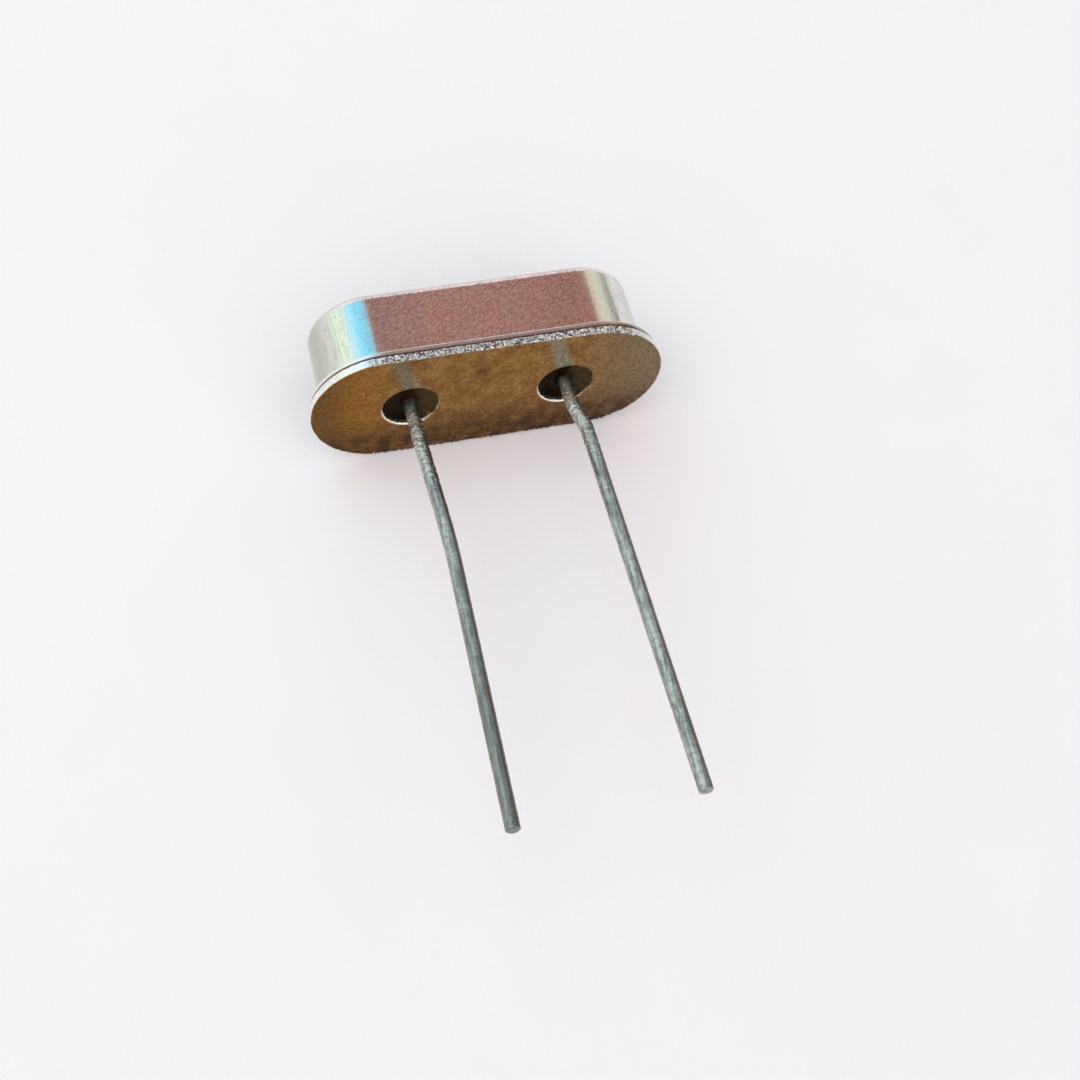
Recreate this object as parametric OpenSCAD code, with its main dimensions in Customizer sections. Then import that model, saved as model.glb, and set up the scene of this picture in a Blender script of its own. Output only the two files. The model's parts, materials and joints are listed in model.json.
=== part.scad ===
// Quartz crystal in a low welded metal can with two wire leads.
// The can's own frame has +Z from the base underside up through the cap and the leads running down -Z.
// The whole part then lies on one wide side, as it comes to rest: +Z is up and the leads point to -Y.

/* [Base] */
// Length of the flange, end to end
flange_l = 11.05; // [10.4:0.05:13.4]
// Width of the flange
flange_w = 4.65; // [4.5:0.05:5.8]
// Thickness of the base flange
flange_t = 0.32; // [0.2:0.01:0.45]
// Rounding of the base flange's outer edges
flange_edge_r = 0.06; // [0.02:0.01:0.09]
// Height of the raised middle of the base above its flange
plinth_h = 0.63; // [0.3:0.01:0.8]
// Gap between the raised middle and the inside of the cap
plinth_gap = 0.06; // [0.02:0.01:0.2]
// Rounding of the raised middle's top edge
plinth_edge_r = 0.1; // [0.02:0.01:0.2]

/* [Cap] */
// Length of the cap outside
cap_l = 10.2; // [9.8:0.05:10.4]
// Width of the cap outside
cap_w = 3.72; // [3.4:0.02:3.9]
// Height from the base underside to the top of the cap
can_h = 3.2; // [2.9:0.05:4.2]
// Thickness of the cap's sheet
cap_t = 0.2; // [0.12:0.01:0.25]
// Outer rounding where the cap's wall turns into its top
cap_top_r = 0.42; // [0.3:0.01:0.6]
// Thickness of the cap's own flange
cap_flange_t = 0.2; // [0.12:0.01:0.3]
// How far the cap's flange stops inside the base flange's edge
cap_flange_inset = 0.05; // [0:0.01:0.1]
// Rounding of the cap flange's outer edges
cap_flange_edge_r = 0.07; // [0.02:0.01:0.09]
// Rounding in the corner between the cap's wall and its flange
cap_foot_r = 0.14; // [0.05:0.01:0.17]
// Rounding of the cap's mouth, inside
cap_mouth_r = 0.24; // [0.1:0.01:0.3]

/* [Leads] */
// Distance between the two leads at the base
lead_pitch = 4.88; // [4.4:0.02:5.4]
// Diameter of the lead wire
lead_d = 0.43; // [0.38:0.01:0.56]
// Chamfer round the cut end of a lead
lead_tip_chamfer = 0.05; // [0.01:0.01:0.1]
// How far a lead stands up inside, above the glass
lead_rise = 0.2; // [0.1:0.01:0.4]
// Diameter of the flattened head on a lead's inner end
lead_head_d = 0.9; // [0.6:0.02:1.2]
// Thickness of the flattened head
lead_head_t = 0.12; // [0.06:0.01:0.2]
// How much the wire's radius thins where it is bent
bend_thinning = 0.002; // [0.002:0.001:0.01]
// Straight length of the left lead's last stretch
left_lead_end = 8.1; // [4:0.05:20]
// Straight length of the right lead's last stretch
right_lead_end = 12.15; // [6:0.05:20]

/* [Glass seals] */
// Diameter of the two holes through the base
hole_d = 1.75; // [1.4:0.01:2]
// Rounding of a hole's lower edge
hole_edge_r = 0.05; // [0.02:0.01:0.1]
// Height of the glass edge inside the hole, above the base underside
seal_recess = 0.15; // [0.08:0.01:0.25]
// How much deeper the glass dips between the hole and the lead
seal_dip = 0.12; // [0.04:0.01:0.2]

/* [Quartz blank] */
// Length of the quartz strip
blank_l = 8; // [7:0.1:8.6]
// Width of the quartz strip
blank_w = 1.8; // [1.4:0.05:2.2]
// Thickness of the quartz strip
blank_t = 0.18; // [0.1:0.01:0.25]
// Length of each silver electrode's middle field
electrode_l = 3.4; // [2.4:0.1:4.4]
// Width of each silver electrode's middle field
electrode_w = 1.3; // [1:0.05:1.4]
// Width of the strip that joins an electrode to its clip
electrode_tab_w = 0.5; // [0.3:0.05:0.9]
// Thickness given to the silver film
electrode_t = 0.02; // [0.01:0.01:0.03]

/* [Clips] */
// Thickness of a clip's spring sheet
clip_t = 0.1; // [0.06:0.01:0.15]
// Width of a clip
clip_w = 1.2; // [0.8:0.05:1.6]
// Outer radius of a clip's two folds
clip_fold_r = 0.16; // [0.14:0.01:0.22]
// Height of the shelf's top above the clip's foot
clip_shelf_h = 0.58; // [0.45:0.01:0.8]
// How far the shelf reaches under the blank
clip_shelf_reach = 0.7; // [0.45:0.05:1]
// Gap between the end of the blank and the clip's upright
clip_end_gap = 0.16; // [0.1:0.01:0.25]
// How far the foot reaches past the lead, towards the middle
clip_foot_reach = 0.5; // [0.3:0.05:0.9]
// Diameter of the keying hole in the shelf
clip_hole_d = 0.36; // [0.2:0.02:0.5]

/* [Adhesive] */
// Width of a bead of adhesive across the blank
bead_w = 0.9; // [0.5:0.05:1.1]
// How far a bead laps on to the blank
bead_lap = 0.3; // [0.15:0.05:0.4]
// Height of a bead above the blank
bead_h = 0.1; // [0.05:0.01:0.2]

/* [Hidden] */
$fn = 96;

// Cutting shapes run past a face by this much
past = 0.01;
// Path of each lead from the seat down: straight run, bend towards +X in degrees, radius of the bend
left_lead_path = [[0.9, 2.4, 20], [2, -4.25, 30], [left_lead_end, 0, 0]];
right_lead_path = [[0.6, 13, 1.6], [0.6, -12.2, 1.6], [right_lead_end, 0, 0]];

flange_run = flange_l - flange_w;
flange_r = flange_w / 2;
cap_run = cap_l - cap_w;
cap_r = cap_w / 2;
cap_inner_r = cap_r - cap_t;
cap_flange_r = flange_r - cap_flange_inset;
plinth_r = cap_inner_r - plinth_gap;
base_h = flange_t + plinth_h;
lead_r = lead_d / 2;
hole_r = hole_d / 2;
head_z = base_h + lead_rise;
foot_z = head_z + lead_head_t;
blank_z = foot_z + clip_shelf_h;
blank_end = blank_l / 2;
clip_inner_x = blank_end + clip_end_gap;
clip_outer_x = clip_inner_x + clip_t;
shelf_tip_x = blank_end - clip_shelf_reach;
bead_start_x = blank_end - bead_lap;

// The part rests on the base flange's edge and the cap's top edge, so it leans by rest_tilt
rim_c = [flange_r - flange_edge_r, flange_t - flange_edge_r];
brow_c = [cap_r - cap_top_r, can_h - cap_top_r];
lean = brow_c - rim_c;
rest_tilt = atan2(-lean[0], lean[1]) + asin((flange_edge_r - cap_top_r) / norm(lean));
rest_h = rim_c[0] * cos(rest_tilt) + rim_c[1] * sin(rest_tilt) + flange_edge_r;
// How far down a lead's path ends, from the bends before it
function path_drop(steps, i = 0, lean_x = 0) =
    i == len(steps) ? 0 :
    steps[i][0] * cos(lean_x)
    + abs(steps[i][2] * (sin(lean_x + steps[i][1]) - sin(lean_x)))
    + path_drop(steps, i + 1, lean_x + steps[i][1]);
lead_drop = max(path_drop(left_lead_path), path_drop(right_lead_path));
// The lying part's ends along Y, which put the origin at the middle of its footprint
rest_back_y = brow_c[0] * sin(rest_tilt) + brow_c[1] * cos(rest_tilt) + cap_top_r;
rest_front_y = -lead_r * sin(rest_tilt) - lead_drop * cos(rest_tilt);
rest_mid_y = (rest_back_y + rest_front_y) / 2;

// Lays a piece of the upright can down on its wide side
module lie_down()
    translate([0, -rest_mid_y, rest_h]) rotate([-(90 + rest_tilt), 0, 0]) children();

// Carries a section, drawn as radius and height, round a centre line of the given length
module racetrack(run) {
    for (turn = [0, 180])
        rotate([0, 0, turn]) {
            translate([run / 2, 0, 0]) rotate([0, 0, -90]) rotate_extrude(angle = 180) children();
            translate([-run / 2, 0, 0]) rotate([90, 0, 90]) linear_extrude(height = run) children();
        }
}

// The sliver that rounds a section's corner off: r is the rounding, and the corner is at +X +Y
module corner_sliver(r) {
    difference() {
        translate([-r, -r]) square(r + past);
        translate([-r, -r]) circle(r);
    }
}

// A section from the axis out to r, from z0 to z1, with its outer corners rounded
module disc_section(r, z0, z1, upper_r = 0, lower_r = 0) {
    difference() {
        translate([0, z0]) square([r, z1 - z0]);
        if (upper_r > 0) translate([r, z1]) corner_sliver(upper_r);
        if (lower_r > 0) translate([r, z0]) mirror([0, 1]) corner_sliver(lower_r);
    }
}

// The inside corner left by a rolling ball of radius r between a wall at x = 0 and a floor at y = 0
module ball_corner(r) {
    difference() {
        translate([-past, -past]) square(r + past);
        translate([r, r]) circle(r);
    }
}

// Drawn cap with a flange all round its mouth
module cap() {
    color("rosybrown") lie_down() difference() {
        union() {
            racetrack(cap_run) disc_section(cap_r, flange_t, can_h, cap_top_r);
            racetrack(cap_run) translate([cap_r, flange_t + cap_flange_t]) ball_corner(cap_foot_r);
            racetrack(flange_run) disc_section(
                cap_flange_r, flange_t, flange_t + cap_flange_t, cap_flange_edge_r, cap_flange_edge_r
            );
        }
        racetrack(cap_run) disc_section(cap_inner_r, flange_t - past, can_h - cap_t, cap_top_r - cap_t);
        racetrack(cap_run) translate([cap_inner_r, flange_t]) ball_corner(cap_mouth_r);
    }
}

// Opening for one glass seal, with a rounded lower edge
module seal_hole() {
    translate([0, 0, -past]) cylinder(r = hole_r, h = base_h + 2 * past);
    rotate_extrude() {
        translate([hole_r, 0]) ball_corner(hole_edge_r);
        translate([0, -past]) square([hole_r, hole_edge_r]);
    }
}

// Stamped base: a flange, a raised middle that fits inside the cap, and two holes
module base() {
    color("darkgoldenrod") lie_down() difference() {
        union() {
            racetrack(flange_run) disc_section(flange_r, 0, flange_t, flange_edge_r, flange_edge_r);
            racetrack(cap_run) disc_section(plinth_r, 0, base_h, plinth_edge_r);
        }
        for (side = [-1, 1])
            translate([side * lead_pitch / 2, 0, 0]) seal_hole();
    }
}

// Ring of sealing glass, hollowed below between the hole and the lead
module glass_seal(side) {
    span = hole_r - lead_r;
    dip_r = (span * span / 4 + seal_dip * seal_dip) / (2 * seal_dip);
    color("black") lie_down() translate([side * lead_pitch / 2, 0, 0]) rotate_extrude() difference() {
        translate([lead_r, seal_recess]) square([span, base_h - seal_recess]);
        translate([lead_r + span / 2, seal_recess + seal_dip - dip_r]) circle(dip_r);
    }
}

module glass_seal_left() glass_seal(-1);
module glass_seal_right() glass_seal(1);

// Arc of wire that starts heading down and turns towards +X by the given angle
module wire_bend(angle, bend_r) {
    mirror([angle < 0 ? 1 : 0, 0, 0]) translate([bend_r, 0, 0]) rotate([0, 180, 0]) rotate([90, 0, 0])
        rotate_extrude(angle = abs(angle)) translate([bend_r, 0]) circle(lead_r - bend_thinning);
}

// Wire that follows a path of runs and bends, down to its cut end; each run reaches just into its neighbours
module wire(steps, i = 0) {
    run = steps[i][0];
    angle = steps[i][1];
    bend_r = steps[i][2];
    if (i == len(steps) - 1) {
        translate([0, 0, lead_tip_chamfer - run]) cylinder(r = lead_r, h = run - lead_tip_chamfer + past);
        translate([0, 0, -run]) cylinder(r1 = lead_r - lead_tip_chamfer, r2 = lead_r, h = lead_tip_chamfer);
    } else {
        translate([0, 0, -run - past]) cylinder(r = lead_r, h = run + 2 * past);
        translate([0, 0, -run]) {
            wire_bend(angle, bend_r);
            translate([sign(angle) * bend_r * (1 - cos(angle)), 0, -bend_r * abs(sin(angle))])
                rotate([0, -angle, 0]) wire(steps, i + 1);
        }
    }
}

// Lead wire: flattened head inside, straight through the glass, hand-bent path outside
module lead(side, steps) {
    color("lightslategray") lie_down() translate([side * lead_pitch / 2, 0, 0]) {
        translate([0, 0, head_z]) cylinder(d = lead_head_d, h = lead_head_t);
        cylinder(r = lead_r, h = head_z);
        wire(steps);
    }
}

module lead_left() lead(-1, left_lead_path);
module lead_right() lead(1, right_lead_path);

// Spring clip folded from thin sheet: foot on the lead's head, upright, and shelf under the blank's end
module clip(side) {
    foot_x = lead_pitch / 2 - clip_foot_reach;
    color("silver") lie_down() mirror([side < 0 ? 1 : 0, 0, 0]) difference() {
        translate([0, clip_w / 2, 0]) rotate([90, 0, 0]) linear_extrude(height = clip_w) difference() {
            translate([foot_x, foot_z]) square([clip_outer_x - foot_x, clip_shelf_h]);
            translate([foot_x - past, foot_z + clip_t])
                square([clip_inner_x - foot_x + past, clip_shelf_h - 2 * clip_t]);
            translate([foot_x - past, foot_z + clip_t + past])
                square([shelf_tip_x - foot_x + past, clip_shelf_h]);
            translate([clip_outer_x, blank_z]) corner_sliver(clip_fold_r);
            translate([clip_outer_x, foot_z]) mirror([0, 1]) corner_sliver(clip_fold_r);
        }
        translate([blank_end - clip_shelf_reach / 2, 0, blank_z - clip_t - past])
            cylinder(d = clip_hole_d, h = clip_t + 2 * past);
    }
}

module clip_left() clip(-1);
module clip_right() clip(1);

// Rectangular strip of quartz, lying on the two shelves
module quartz_blank() {
    color("lightcyan") lie_down()
        translate([-blank_end, -blank_w / 2, blank_z]) cube([blank_l, blank_w, blank_t]);
}

// Silver film: a field in the middle and a strip that ends at the given distance along X
module electrode(z, tab_end_x) {
    color("gainsboro") lie_down() translate([0, 0, z]) linear_extrude(height = electrode_t) {
        square([electrode_l, electrode_w], center = true);
        translate([0, -electrode_tab_w / 2]) square([tab_end_x, electrode_tab_w]);
    }
}

module electrode_top() electrode(blank_z + blank_t, bead_start_x);
module electrode_bottom() mirror([1, 0, 0]) electrode(blank_z - electrode_t, shelf_tip_x);

// Bead of conductive adhesive that laps the blank's end and sits on the shelf
module adhesive(side) {
    bead_end_x = clip_inner_x - (clip_fold_r - clip_t);
    bead_top_z = blank_z + blank_t + bead_h;
    color("dimgray") lie_down() mirror([side < 0 ? 1 : 0, 0, 0])
        translate([0, bead_w / 2, 0]) rotate([90, 0, 0]) linear_extrude(height = bead_w) difference() {
            translate([bead_start_x, blank_z]) square([bead_end_x - bead_start_x, blank_t + bead_h]);
            translate([bead_start_x - past, blank_z - past]) square([bead_lap + past, blank_t + past]);
            translate([bead_end_x, bead_top_z]) corner_sliver(bead_h);
        }
}

module adhesive_left() adhesive(-1);
module adhesive_right() adhesive(1);

cap();
base();
glass_seal_left();
glass_seal_right();
lead_left();
lead_right();
clip_left();
clip_right();
quartz_blank();
electrode_top();
electrode_bottom();
adhesive_left();
adhesive_right();
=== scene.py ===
import json
import math

import bmesh
import bpy
from mathutils import Matrix, Quaternion, Vector


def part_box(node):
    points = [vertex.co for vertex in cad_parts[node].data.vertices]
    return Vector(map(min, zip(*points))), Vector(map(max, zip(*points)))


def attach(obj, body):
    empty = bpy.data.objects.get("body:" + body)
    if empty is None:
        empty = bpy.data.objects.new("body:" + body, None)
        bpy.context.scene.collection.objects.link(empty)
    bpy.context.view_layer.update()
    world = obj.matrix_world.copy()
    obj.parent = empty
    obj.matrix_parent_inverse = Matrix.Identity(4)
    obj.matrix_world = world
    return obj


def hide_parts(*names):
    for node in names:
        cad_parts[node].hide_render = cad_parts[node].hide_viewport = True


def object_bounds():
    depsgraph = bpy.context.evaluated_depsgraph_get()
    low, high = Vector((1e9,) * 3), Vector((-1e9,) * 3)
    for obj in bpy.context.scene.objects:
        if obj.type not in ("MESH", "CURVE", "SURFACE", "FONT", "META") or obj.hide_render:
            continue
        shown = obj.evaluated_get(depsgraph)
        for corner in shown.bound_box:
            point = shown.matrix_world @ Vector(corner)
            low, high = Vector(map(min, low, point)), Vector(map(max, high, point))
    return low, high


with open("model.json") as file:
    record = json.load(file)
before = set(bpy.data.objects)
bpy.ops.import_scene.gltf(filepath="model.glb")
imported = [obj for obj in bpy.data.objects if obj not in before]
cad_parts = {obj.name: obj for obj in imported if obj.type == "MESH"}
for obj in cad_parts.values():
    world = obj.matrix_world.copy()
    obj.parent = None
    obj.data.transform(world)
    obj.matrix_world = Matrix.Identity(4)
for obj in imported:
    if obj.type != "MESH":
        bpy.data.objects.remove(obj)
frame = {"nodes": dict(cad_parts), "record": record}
cad_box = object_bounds()
scene = bpy.context.scene
scene.view_settings.view_transform = "Standard"

# ---- Camera ------------------------------------------------------------------------------------
# A hand-held close view from above the leads' side, a little to the left and turned clockwise.
camera_turn = math.radians(-30.6)
camera_height = math.radians(67.22)
camera_roll = math.radians(19.2)
camera_distance = 0.0529
low, high = cad_box
camera_target = (low + high) / 2 + Vector((0.00035, 0.00005, 0.00047))
camera_back = Vector((
    math.sin(camera_turn) * math.cos(camera_height),
    -math.cos(camera_turn) * math.cos(camera_height),
    math.sin(camera_height),
))
camera_data = bpy.data.cameras.new("camera")
camera_data.lens = 60
camera_data.clip_start = 0.001
camera_data.clip_end = 10
camera = bpy.data.objects.new("camera", camera_data)
camera.location = camera_target + camera_back * camera_distance
camera.rotation_mode = "QUATERNION"
camera.rotation_quaternion = (
    camera_back.to_track_quat("Z", "Y") @ Quaternion((0, 0, 1), camera_roll)
)
scene.collection.objects.link(camera)
scene.camera = camera

# ---- Light and floor ---------------------------------------------------------------------------
# A plain pale table in a bright white room. The bright metal mirrors the room, so the room has a
# dim warm panel high behind the part, a cool window to its left and a darker far right side.


def add_node(tree, kind, inputs=None, **settings):
    """Adds a node, with its settings, and fills its inputs with values or with links."""
    node = tree.nodes.new(kind)
    for name, value in settings.items():
        setattr(node, name, value)
    for name, value in (inputs or {}).items():
        if isinstance(value, bpy.types.NodeSocket):
            tree.links.new(value, node.inputs[name])
        else:
            node.inputs[name].default_value = value
    return node


def ramp(tree, value, start, end):
    """A smooth step that is 0 before start and 1 after end."""
    step = add_node(
        tree, "ShaderNodeMapRange",
        {"Value": value, "From Min": start, "From Max": end},
        interpolation_type="SMOOTHSTEP",
    )
    return step.outputs["Result"]


def calculate(tree, operation, first, second=0.0):
    """One sum on two values."""
    return add_node(tree, "ShaderNodeMath", {0: first, 1: second}, operation=operation).outputs[0]


def split(tree, vector):
    """The X, Y and Z of a vector."""
    return add_node(tree, "ShaderNodeSeparateXYZ", {"Vector": vector}).outputs


def product(tree, first, second):
    """Two values, such as masks, multiplied."""
    return calculate(tree, "MULTIPLY", first, second)


def blend_colour(tree, share, first, second, kind="MIX"):
    """Goes from the first colour to the second, or to their blend, as share goes from 0 to 1."""
    mix = add_node(tree, "ShaderNodeMix", {"Factor": share}, data_type="RGBA", blend_type=kind)
    for socket, colour in (("A", first), ("B", second)):
        target = next(s for s in mix.inputs if s.name == socket and s.type == "RGBA")
        if isinstance(colour, bpy.types.NodeSocket):
            tree.links.new(colour, target)
        else:
            target.default_value = (*colour, 1)
    return next(s for s in mix.outputs if s.type == "RGBA")


room_white = (1.12, 1.10, 1.10)
panel_warm = (0.49, 0.292, 0.242)
window_blue = (0.36, 0.98, 1.30)
left_pale = (0.96, 1.12, 0.96)
left_edge = (0.60, 0.64, 0.55)
right_cream = (0.82, 0.81, 0.68)
right_dark = (0.20, 0.22, 0.21)
backdrop_pale = (0.868, 0.858, 0.880)

room = bpy.data.worlds.new("room")
room.use_nodes = True
scene.world = room
tree = room.node_tree
tree.nodes.clear()
direction = add_node(tree, "ShaderNodeTexCoord").outputs["Generated"]
parts = split(tree, direction)
high_up = product(tree, ramp(tree, parts["Z"], 0.34, 0.48), ramp(tree, parts["Z"], 0.97, 0.90))
behind = ramp(tree, parts["Y"], 0.12, 0.46)
back_wall = product(tree, high_up, behind)
left_side = product(tree, ramp(tree, parts["X"], -0.42, -0.66), ramp(tree, parts["Y"], -0.3, 0.4))
colour = blend_colour(tree, left_side, room_white, left_pale)
in_window = product(
    tree, ramp(tree, parts["X"], -0.66, -0.36), ramp(tree, parts["X"], 0.07, -0.03)
)
colour = blend_colour(tree, product(tree, in_window, back_wall), colour, window_blue)
far_left = product(tree, ramp(tree, parts["X"], -0.70, -0.88), behind)
colour = blend_colour(tree, far_left, colour, left_edge)
in_panel = product(tree, ramp(tree, parts["X"], -0.02, 0.06), ramp(tree, parts["X"], 0.50, 0.44))
in_cream = product(tree, ramp(tree, parts["X"], 0.44, 0.50), behind)
colour = blend_colour(tree, in_cream, colour, right_cream)
colour = blend_colour(tree, product(tree, in_panel, back_wall), colour, panel_warm)
far_right = ramp(tree, parts["X"], 0.66, 0.86)
colour = blend_colour(tree, far_right, colour, right_dark)
# Seen directly, the room is one pale backdrop, as bright as the table where the two meet
seen = add_node(tree, "ShaderNodeLightPath").outputs["Is Camera Ray"]
colour = blend_colour(tree, seen, colour, backdrop_pale)
shine = add_node(tree, "ShaderNodeBackground", {"Color": colour, "Strength": 1.0})
tree.links.new(shine.outputs[0], add_node(tree, "ShaderNodeOutputWorld").inputs["Surface"])

lamp_distance = 0.12
lamp_data = bpy.data.lights.new("soft_lamp", "AREA")
lamp_data.size = 0.08
lamp_data.energy = 0.012
lamp = bpy.data.objects.new("soft_lamp", lamp_data)
lamp_from = Vector((-0.45, 0.35, 0.82)).normalized()
lamp.location = lamp_from * lamp_distance
lamp.rotation_mode = "QUATERNION"
lamp.rotation_quaternion = lamp_from.to_track_quat("Z", "Y")
scene.collection.objects.link(lamp)

floor_side = 8
floor_drop = 0.00001
bpy.ops.object.select_all(action="DESELECT")
bpy.ops.mesh.primitive_plane_add(size=floor_side, location=(0, 0, -floor_drop))
floor = bpy.context.object
floor.name = "floor"
bpy.ops.object.transform_apply(location=True, rotation=True, scale=True)
table_pale = (0.94, 0.885, 0.905)
table_paler = (0.96, 0.905, 0.925)
floor_finish = bpy.data.materials.new("pale_table")
floor_finish.use_nodes = True
tree = floor_finish.node_tree
mottle = add_node(
    tree, "ShaderNodeTexNoise",
    {"Vector": add_node(tree, "ShaderNodeTexCoord").outputs["Object"], "Scale": 300.0},
)
tree.nodes["Principled BSDF"].inputs["Roughness"].default_value = 0.9
tree.nodes["Principled BSDF"].inputs["Specular IOR Level"].default_value = 0.1
tree.links.new(
    blend_colour(tree, mottle.outputs["Fac"], table_pale, table_paler),
    tree.nodes["Principled BSDF"].inputs["Base Color"],
)
floor.data.materials.append(floor_finish)

# ---- Cap ---------------------------------------------------------------------------------------
# The cap is one cup drawn from thin nickel silver and plated, with a flange turned out at its mouth.
# The flange is welded to the base all round, and the polished walls carry fine slanting strokes.

# Every piece is modelled upright in millimetres, with the leads down, and is then laid down.
MM = 0.001
# Points closer than this are one point, and those that nearly agree are taken as level
touching = 1e-4
nearly = 1e-3
# Edges that turn more than this, in degrees, stay sharp
sharp_turn = 50
mounts = {m["name"]: m for m in frame["record"]["mounts"]}
seat = Vector(mounts["board_seat"]["pos_m"])
seat_faces = Vector(mounts["board_seat"]["axis"])
lay_angle = -math.pi / 2 - math.atan2(seat_faces.z, -seat_faces.y)


def lay_down(piece):
    """Turns an upright piece in millimetres into its place as the part lies, in metres."""
    bpy.ops.object.select_all(action="DESELECT")
    piece.select_set(True)
    bpy.context.view_layer.objects.active = piece
    piece.scale = (MM, MM, MM)
    piece.rotation_euler = (lay_angle, 0, 0)
    piece.location = seat
    bpy.ops.object.transform_apply(location=True, rotation=True, scale=True)


def choose(piece, kind, test):
    """Selects the points, edges or faces that pass the test, in edit mode."""
    bpy.ops.mesh.select_mode(type=kind)
    bpy.ops.mesh.select_all(action="DESELECT")
    shape = bmesh.from_edit_mesh(piece.data)
    groups = {"VERT": shape.verts, "EDGE": shape.edges, "FACE": shape.faces}
    for item in groups[kind]:
        item.select_set(bool(test(item)))
    shape.select_flush_mode()
    bmesh.update_edit_mesh(piece.data)


def outline(name, x, points, corners=()):
    """Starts a piece as a chain of edges through (across, height) points, and rounds its corners.
    Each corner is the number of its point, its radius and its steps."""
    bpy.ops.object.select_all(action="DESELECT")
    bpy.ops.mesh.primitive_plane_add(size=1, location=(0, 0, 0))
    piece = bpy.context.object
    piece.name = piece.data.name = name
    bpy.ops.object.mode_set(mode="EDIT")
    bpy.ops.mesh.select_mode(type="VERT")
    bpy.ops.mesh.select_all(action="SELECT")
    bpy.ops.mesh.merge(type="CENTER")
    places = [Vector((x, -across, height)) for across, height in points]
    bpy.ops.transform.translate(value=places[0])
    for here, there in zip(places, places[1:]):
        bpy.ops.mesh.extrude_vertices_move(TRANSFORM_OT_translate={"value": there - here})
    for number, radius, steps in corners:
        corner = places[number]
        before = (places[number - 1] - corner).normalized()
        after = (places[number + 1] - corner).normalized()
        reach = radius / math.tan(before.angle(after) / 2)
        choose(piece, "VERT", lambda v: (v.co - corner).length < touching)
        bpy.ops.mesh.bevel(offset_type="OFFSET", offset=reach, segments=steps, affect="VERTICES")
    bpy.ops.mesh.select_mode(type="VERT")
    bpy.ops.mesh.select_all(action="SELECT")
    return piece


def carry_round(piece, run, turn_steps, side_steps):
    """Carries the selected chain round two half circles that are run apart, and closes the ring."""
    for end in (1, -1):
        bpy.ops.mesh.spin(
            steps=turn_steps, angle=-math.pi, center=(end * run / 2, 0, 0), axis=(0, 0, 1)
        )
        bpy.ops.mesh.extrude_region_move(TRANSFORM_OT_translate={"value": (-end * run, 0, 0)})
    bpy.ops.mesh.select_all(action="SELECT")
    bpy.ops.mesh.remove_doubles(threshold=touching)
    choose(piece, "EDGE", lambda e: abs(e.verts[0].co.x - e.verts[1].co.x) > run * 0.9)
    bpy.ops.mesh.subdivide(number_cuts=side_steps - 1)


def lengthen(piece, radius, extra):
    """Moves what lies within the radius of each half circle's centre out by half the extra."""
    for end in (1, -1):
        centre = end * flange_run / 2
        choose(
            piece, "VERT",
            lambda v: v.co.x * end > flange_run / 2 - nearly
            and math.hypot(v.co.x - centre, v.co.y) < radius,
        )
        bpy.ops.transform.translate(value=(end * extra / 2, 0, 0))


def fill_rings(piece, heights):
    """Closes the open ring at each of the heights with one flat face."""
    for height in heights:
        choose(
            piece, "EDGE",
            lambda e: e.is_boundary and all(abs(v.co.z - height) < nearly for v in e.verts),
        )
        bpy.ops.mesh.edge_face_add()
    bpy.ops.mesh.select_all(action="SELECT")
    bpy.ops.mesh.normals_make_consistent(inside=False)


def apply_modifier(piece, kind, **settings):
    """Adds one modifier and applies it."""
    modifier = piece.modifiers.new(kind.lower(), kind)
    for name, value in settings.items():
        setattr(modifier, name, value)
    bpy.context.view_layer.objects.active = piece
    bpy.ops.object.modifier_apply(modifier=modifier.name)


def smooth(piece, limit):
    """Smooth shading that keeps flat faces flat and edges above the limit, in degrees, sharp."""
    bpy.ops.object.select_all(action="DESELECT")
    piece.select_set(True)
    bpy.context.view_layer.objects.active = piece
    bpy.ops.object.shade_smooth_by_angle(angle=math.radians(limit))
    apply_modifier(piece, "WEIGHTED_NORMAL", keep_sharp=True, weight=80)


# The frame gives the flange's length, so the ends keep their place if the part is packed again
flange_l = (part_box("base")[1].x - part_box("base")[0].x) / MM
cap_l = 10.2
cap_w = 3.72
can_h = 3.2
sheet_t = 0.2
cap_top_r = 0.42
flange_w = 4.65
base_flange_t = 0.32
cap_flange_t = 0.2
cap_flange_inset = 0.05
cap_flange_edge_r = 0.07
cap_foot_r = 0.14
cap_mouth_r = 0.24
cap_turn_steps = 112
cap_side_steps = 60
flange_run = flange_l - flange_w
cap_run = cap_l - cap_w
cap_r = cap_w / 2
flange_r = flange_w / 2
cap_flange_r = flange_r - cap_flange_inset
cap_flange_top = base_flange_t + cap_flange_t
cap_inner_r = cap_r - sheet_t

cap = outline(
    "cap_shell",
    flange_run / 2,
    [
        (cap_inner_r - 0.4, can_h - sheet_t),
        (cap_inner_r, can_h - sheet_t),
        (cap_inner_r, base_flange_t),
        (cap_flange_r, base_flange_t),
        (cap_flange_r, cap_flange_top),
        (cap_r, cap_flange_top),
        (cap_r, can_h),
        (cap_r - cap_top_r - 0.1, can_h),
    ],
    [
        (1, cap_top_r - sheet_t, 5),
        (2, cap_mouth_r, 6),
        (3, cap_flange_edge_r, 4),
        (4, cap_flange_edge_r, 5),
        (5, cap_foot_r, 6),
        (6, cap_top_r, 12),
    ],
)
carry_round(cap, flange_run, cap_turn_steps, cap_side_steps)
# The walls' straight sides are a little longer than the flange's
lengthen(cap, cap_r + cap_foot_r - nearly, cap_run - flange_run)
fill_rings(cap, (can_h - sheet_t, can_h))
bpy.ops.object.mode_set(mode="OBJECT")
smooth(cap, sharp_turn)
lay_down(cap)


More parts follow.
